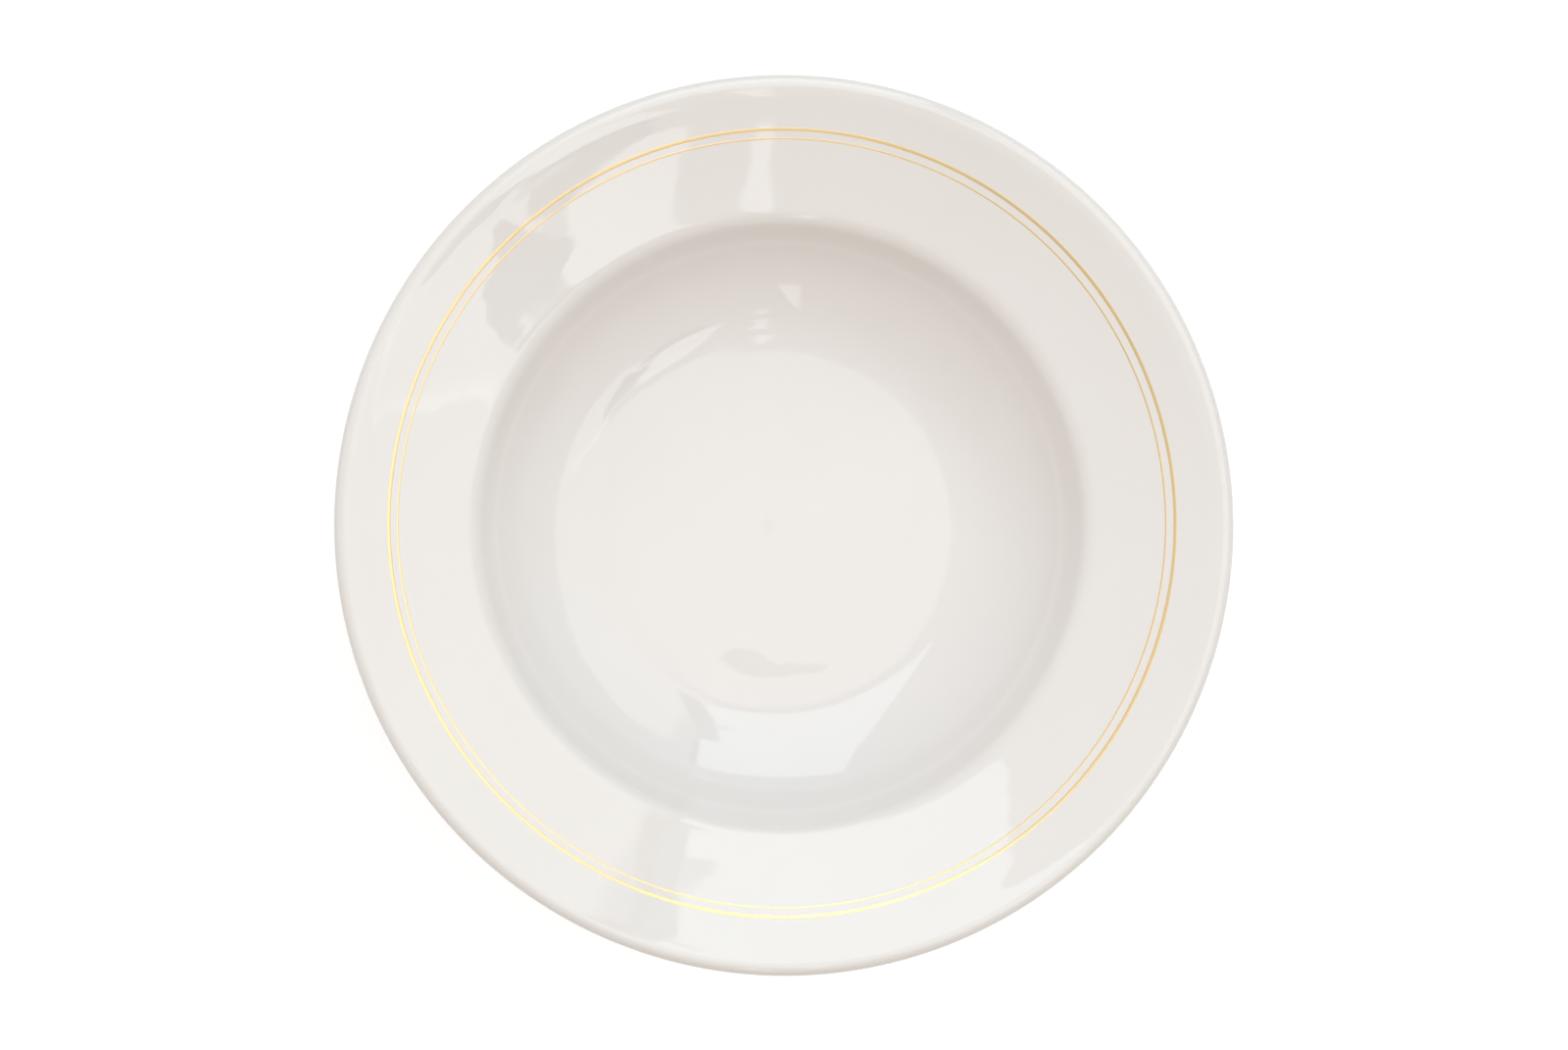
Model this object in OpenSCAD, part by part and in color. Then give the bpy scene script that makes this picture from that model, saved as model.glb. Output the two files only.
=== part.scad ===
// Rimmed soup plate of glazed porcelain, with two gold lines on its rim.
// Every piece is a figure of revolution about the Z axis.
// The origin is the centre of the foot ring, on the surface that the plate stands on.
// Lengths are in millimetres and angles in degrees.

/* [Plate] */
// Diameter over the rolled edge, glaze included
plate_d = 230; // [224:1:240]
// Height from the table to the top of the rolled edge
plate_h = 41; // [39:0.5:45]

/* [Rim] */
// Width of the rim in plan, from the outside of the plate to the corner of the shoulder
rim_w = 36.5; // [30:0.5:42]
// Radius that rounds the shoulder on the show side
shoulder_round = 9.5; // [6:0.5:11.5]
// Radius in the hollow under the shoulder
under_shoulder_round = 8; // [5:0.5:11]
// Thickness of the rim, glaze included
rim_t = 3.6; // [3:0.1:4.2]
// How far each half of the hollow rim departs from its mean slope, in degrees
rim_hollow = 2.6; // [1:0.1:4]

/* [Well] */
// Length of the straight wall from the shoulder's corner down to the hollow curve
steep_run = 5.4; // [5:0.1:8]
// Slope of the straight wall
wall_slope = 62; // [54:1:66]
// Radius of the wall's hollow curve
bend_r = 36.8; // [31:0.2:43]
// Slope of the wall's toe, where it meets the floor
toe_slope = 8; // [6:1:9]
// Length of the straight toe between the hollow curve and the floor
toe_run = 1.2; // [1:0.1:2]
// Radius that softens the line between the toe and the floor
floor_round = 12; // [8:1:14]
// Thickness of the wall, glaze included
wall_t = 4.2; // [3.6:0.1:5]
// Thickness of the floor over the edge of the recess, glaze included
floor_t = 4.5; // [3.8:0.1:5.2]

/* [Rolled edge] */
// Width of the rolled edge, measured inwards from the outside of the plate
roll_w = 7.8; // [6:0.1:9]
// How far the rolled edge starts below the top of the plate
roll_drop = 2; // [1.6:0.1:2.6]
// Radius of the edge, glaze included
edge_r = 2.4; // [2:0.1:2.8]
// Height of the upright land in the middle of the edge
edge_land = 0.4; // [0.2:0.1:0.8]
// Radius that blends the rim into the rolled edge
roll_blend = 24; // [12:1:30]

/* [Foot ring] */
// Depth of the recess inside the foot, at its edge, glaze included
recess_depth = 2; // [1.7:0.1:2.6]
// Distance in plan from the floor's edge out to the middle of the standing face
foot_offset = 9.5; // [8:0.5:12]
// Width of the foot across its two lower corners, before they are rounded
foot_w = 3.6; // [2.6:0.1:4.4]
// Lean of the foot's two sides from the upright
foot_lean = 14; // [8:1:18]
// Radius that rounds the foot's lower corners
foot_round = 0.7; // [0.4:0.05:0.8]
// Radius in the corner between the foot and the recess inside it
recess_corner = 1.2; // [0.8:0.1:1.4]
// Radius in the corner between the foot and the wall
foot_blend = 3; // [2:0.5:4]
// How far the recess is domed upwards at its centre
recess_dome = 0.4; // [0.2:0.1:0.6]
// Radius that eases the edge of the dome
dome_round = 400; // [200:50:600]

/* [Glaze] */
// Thickness of the glaze
glaze_t = 0.3; // [0.2:0.05:0.4]
// Height above the table where the glaze is wiped off the foot
wipe_h = 0.8; // [0.75:0.05:1]

/* [Gold lines] */
// Clear strip of the rim between the rolled edge and the outer line
line_margin = 6.1; // [4:0.1:9]
// Width of the outer line
outer_line_w = 0.9; // [0.5:0.05:1.4]
// Clear strip of glaze between the two lines
line_gap = 1.6; // [0.8:0.1:3]
// Width of the inner line
inner_line_w = 0.5; // [0.3:0.05:0.9]
// Thickness of the fired gold
gold_t = 0.12; // [0.08:0.01:0.2]
// Clearance between the glaze and the solid that stands for the gold film
gold_clear = 0.14; // [0.1:0.01:0.2]

/* [Hidden] */
$fn = 180;

// Slope of an upright line
upright = 90;
// Widest turn between two neighbouring points of a rounded corner
arc_step = 5;
// Farthest that a chord between two such points lies off its arc
arc_gap = 0.02;
// Part of the free length of the rim that its hollow curve takes up
hollow_share = 0.95;
// Part of the recess's radius that the flat top of its dome takes up
dome_share = 0.35;

// Finish colours
clay_colour = "#f1eee8";
glaze_colour = "#f6f3ee";
gold_colour = "#c9a24a";

// The clay lies one glaze thickness inside every glazed face
clay_r = plate_d / 2 - glaze_t;
clay_h = plate_h - glaze_t;
clay_floor_h = recess_depth + floor_t - glaze_t;
clay_edge_r = edge_r - glaze_t;
clay_wall_t = wall_t - 2 * glaze_t;
clay_rim_t = rim_t - 2 * glaze_t;
recess_h = recess_depth + glaze_t;

// Point at radius r on the line that runs through p at a slope
function on_line(p, slope, r) = [r, p.y + (r - p.x) * tan(slope)];

// Point where the line through p at slope a crosses the line through q at slope b
function crossing(p, a, q, b) =
    on_line(p, a, (q.y - p.y + p.x * tan(a) - q.x * tan(b)) / (tan(a) - tan(b)));

// Point that lies a distance along a slope from p
function along(p, slope, distance) = p + distance * [cos(slope), sin(slope)];

// Point that lies square below a sloping face at p, through the clay
function below(p, slope, thickness) = p + thickness * [sin(slope), -cos(slope)];

// Slope of the line from p that touches a circle; side is 1 over the circle and -1 under it
function touching_slope(p, centre, radius, side) =
    atan2(centre.y - p.y, centre.x - p.x) + side * asin(radius / norm(centre - p));

// Distance from a corner q, between p and s, to either end of the arc that rounds it
function arc_reach(p, q, s, radius) = radius * tan(abs(turn(heading(p, q), heading(q, s))) / 2);

// Radius that eases a corner q over most of what the arcs at its neighbours p and s leave free
function easing_radius(q, p, p_reach, s, s_reach) =
    hollow_share * min(norm(q - p) - p_reach, norm(s - q) - s_reach)
    / tan(abs(turn(heading(p, q), heading(q, s))) / 2);

// A corner of an outline: its place, and the radius that rounds it
function rounded(p, radius) = [p.x, p.y, radius];
function sharp(p) = rounded(p, 0);

// Show face of the clay: the wall's width in plan gives the floor what is left
bend_w = bend_r * (sin(wall_slope) - sin(toe_slope));
wall_w = steep_run * cos(wall_slope) + bend_w + toe_run * cos(toe_slope);
floor_edge = [plate_d / 2 - rim_w - wall_w, clay_floor_h];
bend_reach = bend_r * tan((wall_slope - toe_slope) / 2);
bend_corner = along(floor_edge, toe_slope, toe_run + bend_reach);
shoulder = along(bend_corner, wall_slope, bend_reach + steep_run);

// Rolled edge: two small arcs with an upright land between them
edge_top_centre = [clay_r - clay_edge_r, clay_h - clay_edge_r];
edge_low_centre = edge_top_centre - [0, edge_land];
roll_start = [plate_d / 2 - roll_w, clay_h - roll_drop];
rim_slope = heading(shoulder, roll_start);
roll_slope = touching_slope(roll_start, edge_top_centre, clay_edge_r, 1);
edge_top = on_line(roll_start, roll_slope, clay_r);

// The rim's middle lies a little under the line from the shoulder to the rolled edge
rim_middle = crossing(shoulder, rim_slope - rim_hollow, roll_start, rim_slope + rim_hollow);
rim_round = easing_radius(
    rim_middle,
    shoulder, arc_reach(bend_corner, shoulder, rim_middle, shoulder_round),
    roll_start, arc_reach(rim_middle, roll_start, edge_top, roll_blend)
);

// Underside of the rim and of its rolled edge
under_rim = below(shoulder, rim_slope, clay_rim_t);
under_middle = below(rim_middle, rim_slope, clay_rim_t);
under_roll_start = on_line(under_rim, rim_slope, roll_start.x);
under_roll_slope = touching_slope(under_roll_start, edge_low_centre, clay_edge_r, -1);
edge_low = on_line(under_roll_start, under_roll_slope, clay_r);

// Underside of the wall
under_wall = below(shoulder, wall_slope, clay_wall_t);
under_shoulder = crossing(under_wall, wall_slope, under_rim, rim_slope - rim_hollow);
under_rim_round = easing_radius(
    under_middle,
    under_shoulder, arc_reach(under_wall, under_shoulder, under_middle, under_shoulder_round),
    under_roll_start, arc_reach(under_middle, under_roll_start, edge_low, roll_blend)
);

// Foot ring, whose outer side runs up to a circle parallel to the wall's curve
foot_r = floor_edge.x + foot_offset;
foot_in = [foot_r - foot_w / 2, 0];
foot_out = [foot_r + foot_w / 2, 0];
recess_edge = foot_in + [-recess_h * tan(foot_lean), recess_h];
wall_centre = along(along(floor_edge, toe_slope, toe_run), toe_slope + upright, bend_r);
under_bend_r = bend_r + clay_wall_t;
root_slope = asin((foot_out.x - wall_centre.x) / under_bend_r);
root_floor = [foot_out.x, wall_centre.y - under_bend_r * cos(root_slope)];
foot_root = crossing(root_floor, root_slope, foot_out, upright - foot_lean);
under_bend = crossing(root_floor, root_slope, under_wall, wall_slope);

// The curve under the wall starts where the foot's own blend ends
root_blend_reach = foot_blend * tan((upright - foot_lean - root_slope) / 2);
under_bend_round = (norm(under_bend - foot_root) - root_blend_reach)
    / tan((wall_slope - root_slope) / 2);

// Places on the foot's two sides where the glaze stops
wipe_in = foot_in + [-wipe_h * tan(foot_lean), wipe_h];
wipe_out = foot_out + [wipe_h * tan(foot_lean), wipe_h];

// Outer radius of each gold line
outer_line_r = roll_start.x - line_margin;
inner_line_r = outer_line_r - outer_line_w - line_gap;

// The clay's outline in three stretches, each with the clay on its left
dome_top = recess_h + recess_dome;
recess_stretch = [
    sharp([0, dome_top]),
    rounded([dome_share * foot_in.x, dome_top], dome_round),
    rounded(recess_edge, recess_corner),
    sharp(wipe_in)
];
bare_stretch = [
    rounded(foot_in, foot_round),
    rounded(foot_out, foot_round)
];
face_stretch = [
    sharp(wipe_out),
    rounded(foot_root, foot_blend),
    rounded(under_bend, under_bend_round),
    rounded(under_shoulder, under_shoulder_round),
    rounded(under_middle, under_rim_round),
    rounded(under_roll_start, roll_blend),
    rounded(edge_low, clay_edge_r),
    rounded(edge_top, clay_edge_r),
    rounded(roll_start, roll_blend),
    rounded(rim_middle, rim_round),
    rounded(shoulder, shoulder_round),
    rounded(bend_corner, bend_r),
    rounded(floor_edge, floor_round),
    sharp([0, clay_floor_h])
];

// Heading from one corner to the next, and the unit vectors along it and to its left
function heading(p, q) = atan2(q.y - p.y, q.x - p.x);
function ahead(h) = [cos(h), sin(h)];
function left_of(h) = [-sin(h), cos(h)];

// Change of heading from a to b, to the left when positive
function turn(a, b) = (b - a) - 360 * round((b - a) / 360);

// The points that round one corner, laid a skin's thickness outside the clay
function corner_points(before, place, after, skin) =
    let (
        h = heading(before, place),
        bend = turn(h, heading(place, after)),
        radius = place[2],
        side = sign(bend),
        reach = radius * tan(abs(bend) / 2),
        centre = [place.x, place.y] - reach * ahead(h) + side * radius * left_of(h),
        step = min(arc_step, 2 * acos(1 - min(arc_gap / max(radius, arc_gap), 1))),
        steps = ceil(abs(bend) / step),
        mitre = skin * (left_of(h) + left_of(h + bend)) / (1 + cos(bend))
    )
    radius == 0
        ? [[place.x, place.y] - mitre]
        : [for (k = [0 : steps]) centre - (side * radius + skin) * left_of(h + bend * k / steps)];

// End point of an open outline, laid a skin's thickness outside the clay
function end_point(place, h, skin) = [place.x, place.y] - skin * left_of(h);

// All points of an outline, rounded and laid a skin's thickness outside the clay
function outline_points(path, skin) =
    let (last = len(path) - 1)
    [
        end_point(path[0], heading(path[0], path[1]), skin),
        for (i = [1 : last - 1]) each corner_points(path[i - 1], path[i], path[i + 1], skin),
        end_point(path[last], heading(path[last - 1], path[last]), skin)
    ];

function reversed(list) = [for (i = [len(list) - 1 : -1 : 0]) list[i]];

// A coat of one thickness over a stretch of the clay, revolved
module coat(path, thickness) {
    rotate_extrude()
        polygon(concat(outline_points(path, 0), reversed(outline_points(path, thickness))));
}

// The glazed face of the rim from the shoulder out to the rolled edge
rim_stretch = [sharp(roll_start), rounded(rim_middle, rim_round), sharp(shoulder)];
glazed_rim = reversed(outline_points(rim_stretch, glaze_t));

// A thin gold band laid on the glazed rim, between two radii
module gold_band(inner_r, outer_r) {
    seat = [
        [inner_r, lookup(inner_r, glazed_rim)],
        for (p = glazed_rim) if (p.x > inner_r && p.x < outer_r) p,
        [outer_r, lookup(outer_r, glazed_rim)]
    ];
    under = [for (p = seat) below(p, rim_slope, -gold_clear)];
    face = [for (p = under) below(p, rim_slope, -gold_t)];
    rotate_extrude()
        polygon(concat(under, reversed(face)));
}

// Fired clay: floor, wall, rim, rolled edge and foot ring in one throwing
module porcelain_body() {
    color(clay_colour)
        rotate_extrude()
            polygon(outline_points(concat(recess_stretch, bare_stretch, face_stretch), 0));
}

// Glaze over the whole show face, the edge and the underside down to the foot
module glaze_coat() {
    color(glaze_colour)
        coat(face_stretch, glaze_t);
}

// Glaze in the recess inside the foot ring
module recess_glaze() {
    color(glaze_colour)
        coat(recess_stretch, glaze_t);
}

// Wider gold line, nearer the edge
module outer_gold_line() {
    color(gold_colour)
        gold_band(outer_line_r - outer_line_w, outer_line_r);
}

// Hairline of gold inside the wider one
module inner_gold_line() {
    color(gold_colour)
        gold_band(inner_line_r - inner_line_w, inner_line_r);
}

porcelain_body();
glaze_coat();
recess_glaze();
outer_gold_line();
inner_gold_line();
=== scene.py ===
"""Rimmed soup plate of glazed porcelain, with two gold lines on its rim, in a plain bright studio.

Every piece is a surface of revolution about the Z axis: a profile, worked out from the plate's
own sizes, is carried round the axis on a grid of stations and turns.  A small unevenness, shared
by all pieces, then moves the grid as a hand-finished plate departs from the true form.
Lengths are in metres and slopes in degrees unless a name says otherwise.
"""

from __future__ import annotations

import logging
import math
from dataclasses import dataclass, field
from enum import Enum
from typing import ClassVar, Sequence, Union

import bpy
import numpy as np
from mathutils import Matrix, Vector


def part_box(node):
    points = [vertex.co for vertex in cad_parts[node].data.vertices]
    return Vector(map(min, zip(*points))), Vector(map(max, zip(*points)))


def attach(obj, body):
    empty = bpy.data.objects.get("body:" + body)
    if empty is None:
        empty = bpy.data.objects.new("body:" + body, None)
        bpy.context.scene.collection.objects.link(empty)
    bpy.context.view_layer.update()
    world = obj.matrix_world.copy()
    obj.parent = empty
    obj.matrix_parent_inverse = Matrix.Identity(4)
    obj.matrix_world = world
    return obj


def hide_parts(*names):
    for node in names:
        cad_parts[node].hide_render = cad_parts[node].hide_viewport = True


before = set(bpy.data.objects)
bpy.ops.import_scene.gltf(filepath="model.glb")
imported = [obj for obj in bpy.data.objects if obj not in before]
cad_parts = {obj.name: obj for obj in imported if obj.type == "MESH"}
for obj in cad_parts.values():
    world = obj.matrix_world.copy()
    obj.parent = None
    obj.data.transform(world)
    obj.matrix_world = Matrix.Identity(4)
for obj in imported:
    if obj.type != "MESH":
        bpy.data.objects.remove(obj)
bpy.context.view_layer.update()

log = logging.getLogger("soup_plate")

MM = 0.001
TAU = 2 * math.pi
UPRIGHT, HALF_TURN = 90.0, 180.0
BODY = "root"

Point = np.ndarray
Socket = bpy.types.NodeSocket
Value = Union[float, Sequence[float], Socket]
Inputs = dict[Union[str, int], Value]
Colour = tuple[float, float, float]
Span = tuple[float, float]
Reach = Union[float, np.ndarray]
Waves = tuple[tuple[int, float, float], ...]


class PlateNode(Enum):
    """Names of the solids that the dressed pieces stand for."""

    BODY = "porcelain_body"
    COAT = "glaze_coat"
    RECESS = "recess_glaze"
    OUTER_LINE = "outer_gold_line"
    INNER_LINE = "inner_gold_line"


class FinishSlot(Enum):
    """Names of the finishes that the plate's record lists."""

    PORCELAIN = "porcelain"
    GLAZE = "glaze"
    GOLD = "gold"


class Step(Enum):
    """The sums that the finishes use, on numbers and on vectors."""

    ADD = "ADD"
    SUBTRACT = "SUBTRACT"
    MULTIPLY = "MULTIPLY"
    DIVIDE = "DIVIDE"
    MINIMUM = "MINIMUM"
    MAXIMUM = "MAXIMUM"
    ARCCOSINE = "ARCCOSINE"
    EXPONENT = "EXPONENT"
    DEGREES = "DEGREES"
    DOT_PRODUCT = "DOT_PRODUCT"
    LENGTH = "LENGTH"
    NORMALIZE = "NORMALIZE"


# Plane geometry of an outline: x is the distance from the axis and y the height


def point(x: float, y: float) -> Point:
    """Returns the outline point at distance x from the axis and height y."""
    return np.array([x, y], float)


def ahead(slope: float) -> Point:
    """Returns the unit vector along a slope in degrees."""
    return point(math.cos(math.radians(slope)), math.sin(math.radians(slope)))


def left_of(slope: float) -> Point:
    """Returns the unit vector square to a slope, on its left."""
    return point(-math.sin(math.radians(slope)), math.cos(math.radians(slope)))


def slope_between(p: Point, q: Point) -> float:
    """Returns the slope in degrees of the line from p to q."""
    return math.degrees(math.atan2(q[1] - p[1], q[0] - p[0]))


def on_line(p: Point, slope: float, x: float) -> Point:
    """Returns the point at distance x from the axis on the line through p at a slope."""
    return point(x, p[1] + (x - p[0]) * math.tan(math.radians(slope)))


def crossing(p: Point, a: float, q: Point, b: float) -> Point:
    """Returns where the line through p at slope a crosses the line through q at slope b."""
    rise_a, rise_b = math.tan(math.radians(a)), math.tan(math.radians(b))
    return on_line(p, a, (q[1] - p[1] + p[0] * rise_a - q[0] * rise_b) / (rise_a - rise_b))


def arc_reach(p: Point, q: Point, s: Point, radius: float) -> float:
    """Returns the distance from a corner q, between p and s, to either end of its arc."""
    return radius * abs(math.tan(math.radians(slope_between(q, s) - slope_between(p, q)) / 2))


def easing_radius(q: Point, p: Point, p_reach: float, s: Point, s_reach: float, share: float) -> float:
    """Returns the radius that eases corner q over a share of what the arcs at p and s leave free."""
    free = min(float(np.linalg.norm(q - p)) - p_reach, float(np.linalg.norm(s - q)) - s_reach)
    return share * free / arc_reach(p, q, s, 1.0)


def touching_slope(p: Point, centre: Point, radius: float, side: int) -> float:
    """Returns the slope of the line from p that touches a circle's upper (1) or lower side (-1)."""
    reach = float(np.linalg.norm(centre - p))
    return slope_between(p, centre) + side * math.degrees(math.asin(radius / reach))


@dataclass(frozen=True)
class Corner:
    """A corner of an outline: its place, and the radius that rounds it (0 leaves it sharp)."""

    place: Point
    rounding: float = 0.0


def outline(corners: Sequence[Corner], skin: float, turn_step: float = 1.5) -> np.ndarray:
    """Rounds the corners of an open outline and lays it a skin's thickness off the clay.

    A rounded corner is an arc that touches both its neighbours' lines: its centre lies
    radius * tan(half the turn) back from the corner and one radius to the side it turns to.
    The skin adds to or takes from that radius, so the laid outline stays parallel.

    Args:
        corners: The corners in order, with the clay on the left of the path.
        skin: Distance from the clay, to the right of the path.
        turn_step: Widest turn in degrees between two points of an arc.

    Returns:
        The outline as an array of n by 2.
    """
    slopes = [slope_between(a.place, b.place) for a, b in zip(corners, corners[1:])]
    laid = [[corners[0].place - skin * left_of(slopes[0])]]
    for corner, before, after in zip(corners[1:-1], slopes, slopes[1:]):
        bend = (after - before + HALF_TURN) % (2 * HALF_TURN) - HALF_TURN
        if corner.rounding == 0:
            mitre = (left_of(before) + left_of(before + bend)) / (1 + ahead(bend)[0])
            laid.append([corner.place - skin * mitre])
            continue
        side = math.copysign(1, bend)
        reach = corner.rounding * math.tan(math.radians(abs(bend) / 2))
        centre = corner.place - reach * ahead(before) + side * corner.rounding * left_of(before)
        turns = np.radians(before + bend * np.linspace(0, 1, math.ceil(abs(bend) / turn_step) + 1))
        sideways = np.column_stack([-np.sin(turns), np.cos(turns)])
        laid.append(centre - (side * corner.rounding + skin) * sideways)
    laid.append([corners[-1].place - skin * left_of(slopes[-1])])
    return np.concatenate(laid)


def stations(path: np.ndarray, cell: float, turn_step: float) -> np.ndarray:
    """Spreads stations along an outline, closer together where it turns.

    The spacing follows a running sum: length over the cell's length, plus the turn at each point
    over the turn step.  Stations stand at equal steps of that sum.

    Args:
        path: Outline of n by 2.
        cell: Spacing on a straight stretch.
        turn_step: Turn in degrees that is worth one station.

    Returns:
        Places along the outline in units of its own point numbers, for along_path.
    """
    steps = np.diff(path, axis=0)
    lengths = np.hypot(steps[:, 0], steps[:, 1])
    headings = np.unwrap(np.arctan2(steps[:, 1], steps[:, 0]))
    turns = np.degrees(np.abs(np.diff(headings)))
    share = np.zeros(len(lengths))
    share[1:] += turns / 2
    share[:-1] += turns / 2
    total = np.concatenate([[0], np.cumsum(lengths / cell + share / turn_step)])
    return np.interp(np.linspace(0, total[-1], math.ceil(total[-1]) + 1), total, np.arange(len(path)))


def along_path(path: np.ndarray, places: np.ndarray) -> np.ndarray:
    """Returns the points of an outline at places given in units of its point numbers."""
    numbers = np.arange(len(path))
    return np.column_stack([np.interp(places, numbers, path[:, 0]), np.interp(places, numbers, path[:, 1])])


def smooth_step(low: float, high: float, value: np.ndarray) -> np.ndarray:
    """Returns 0 below low, 1 above high and 3t² − 2t³ between them."""
    t = np.clip((value - low) / (high - low), 0, 1)
    return t * t * (3 - 2 * t)


@dataclass(frozen=True)
class PlateForm:
    """The plate's sizes and the corners of its section, worked out from the outside in.

    The shoulder is tighter and the floor's edge softer than the solids', as the reflections ask,
    so the face departs from theirs by up to 0.35 mm.
    """

    radius: float
    height: float
    rim_width: float = 36.5 * MM
    shoulder_round: float = 6 * MM
    under_shoulder_round: float = 8 * MM
    rim_thickness: float = 3.6 * MM
    rim_hollow: float = 2.6
    hollow_share: float = 0.95
    steep_run: float = 5.1 * MM
    wall_slope: float = 62.0
    bend_radius: float = 36.8 * MM
    toe_slope: float = 3.0
    toe_run: float = 2.4 * MM
    floor_round: float = 80 * MM
    wall_thickness: float = 4.2 * MM
    floor_thickness: float = 4.5 * MM
    roll_width: float = 7.8 * MM
    roll_drop: float = 2 * MM
    edge_radius: float = 2.4 * MM
    edge_land: float = 0.4 * MM
    roll_blend: float = 24 * MM
    recess_depth: float = 2 * MM
    foot_offset: float = 13.76 * MM
    foot_width: float = 3.6 * MM
    foot_lean: float = 14.0
    foot_round: float = 0.7 * MM
    recess_corner: float = 1.2 * MM
    foot_blend: float = 3 * MM
    recess_dome: float = 0.4 * MM
    dome_round: float = 400 * MM
    dome_share: float = 0.35
    glaze: float = 0.3 * MM
    wipe_height: float = 0.8 * MM
    recess_corners: list[Corner] = field(init=False, repr=False)
    bare_corners: list[Corner] = field(init=False, repr=False)
    face_corners: list[Corner] = field(init=False, repr=False)

    def __post_init__(self) -> None:
        """Works out the three stretches of the clay's outline, each with the clay on its left."""
        show, under = self._show_face()
        recess, bare, side = self._foot()
        stretches = {"recess_corners": recess, "bare_corners": bare, "face_corners": side + under + show}
        for name, corners in stretches.items():
            object.__setattr__(self, name, corners)

    @property
    def clay_floor(self) -> float:
        """Height of the clay floor, one glaze thickness under the show face."""
        return self.recess_depth + self.floor_thickness - self.glaze

    @property
    def floor_edge(self) -> Point:
        """Corner between the floor and the toe of the wall."""
        bend = self.bend_radius * (ahead(self.wall_slope)[1] - ahead(self.toe_slope)[1])
        wall = self.steep_run * ahead(self.wall_slope)[0] + bend + self.toe_run * ahead(self.toe_slope)[0]
        return point(self.radius - self.rim_width - wall, self.clay_floor)

    @property
    def shoulder(self) -> Point:
        """Corner where the steep wall meets the rim."""
        return self._bend_corner() + (self._bend_reach() + self.steep_run) * ahead(self.wall_slope)

    @property
    def roll_start(self) -> Point:
        """Corner where the rim meets the rolled edge."""
        return point(self.radius - self.roll_width, self.height - self.glaze - self.roll_drop)

    @property
    def under_wall(self) -> Point:
        """Point on the clay's underside, square below the shoulder through the wall."""
        return self.shoulder - (self.wall_thickness - 2 * self.glaze) * left_of(self.wall_slope)

    def _bend_reach(self) -> float:
        """Returns the distance from the wall curve's corner to either end of its arc."""
        return self.bend_radius * math.tan(math.radians((self.wall_slope - self.toe_slope) / 2))

    def _bend_corner(self) -> Point:
        """Returns the corner that the wall's hollow curve rounds."""
        return self.floor_edge + (self.toe_run + self._bend_reach()) * ahead(self.toe_slope)

    def _hollow_round(
        self, wall: Point, shoulder: Point, rounding: float, hollow: Point, roll: Point, edge: Point
    ) -> float:
        """Returns the radius of a rim face's hollow, between the arcs at its shoulder and its roll."""
        shoulder_reach = arc_reach(wall, shoulder, hollow, rounding)
        roll_reach = arc_reach(hollow, roll, edge, self.roll_blend)
        return easing_radius(hollow, shoulder, shoulder_reach, roll, roll_reach, self.hollow_share)

    def _show_face(self) -> tuple[list[Corner], list[Corner]]:
        """Works out the show face, the rolled edge and the underside of the rim.

        The rim is a little hollow: its middle corner lies rim_hollow degrees under both of its
        halves, and one wide arc rounds it.

        Returns:
            The corners of the show face from the edge to the axis, and those of the underside
            from the wall to the edge.
        """
        edge_radius = self.edge_radius - self.glaze
        clay_radius, clay_height = self.radius - self.glaze, self.height - self.glaze
        upper = point(clay_radius - edge_radius, clay_height - edge_radius)
        lower = upper - point(0, self.edge_land)
        rim_slope = slope_between(self.shoulder, self.roll_start)
        hollow = crossing(self.shoulder, rim_slope - self.rim_hollow, self.roll_start, rim_slope + self.rim_hollow)
        roll_slope = touching_slope(self.roll_start, upper, edge_radius, 1)
        thickness = self.rim_thickness - 2 * self.glaze
        under_rim = self.shoulder - thickness * left_of(rim_slope)
        under_hollow = hollow - thickness * left_of(rim_slope)
        under_roll = on_line(under_rim, rim_slope, self.roll_start[0])
        under_roll_slope = touching_slope(under_roll, lower, edge_radius, -1)
        under_shoulder = crossing(self.under_wall, self.wall_slope, under_rim, rim_slope - self.rim_hollow)
        edge_top = on_line(self.roll_start, roll_slope, clay_radius)
        edge_low = on_line(under_roll, under_roll_slope, clay_radius)
        hollow_radius = self._hollow_round(
            self._bend_corner(), self.shoulder, self.shoulder_round, hollow, self.roll_start, edge_top
        )
        under_hollow_radius = self._hollow_round(
            self.under_wall, under_shoulder, self.under_shoulder_round, under_hollow, under_roll, edge_low
        )
        show = [
            Corner(edge_top, edge_radius),
            Corner(self.roll_start, self.roll_blend),
            Corner(hollow, hollow_radius),
            Corner(self.shoulder, self.shoulder_round),
            Corner(self._bend_corner(), self.bend_radius),
            Corner(self.floor_edge, self.floor_round),
            Corner(point(0, self.clay_floor)),
        ]
        under = [
            Corner(under_shoulder, self.under_shoulder_round),
            Corner(under_hollow, under_hollow_radius),
            Corner(under_roll, self.roll_blend),
            Corner(edge_low, edge_radius),
        ]
        return show, under

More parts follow.
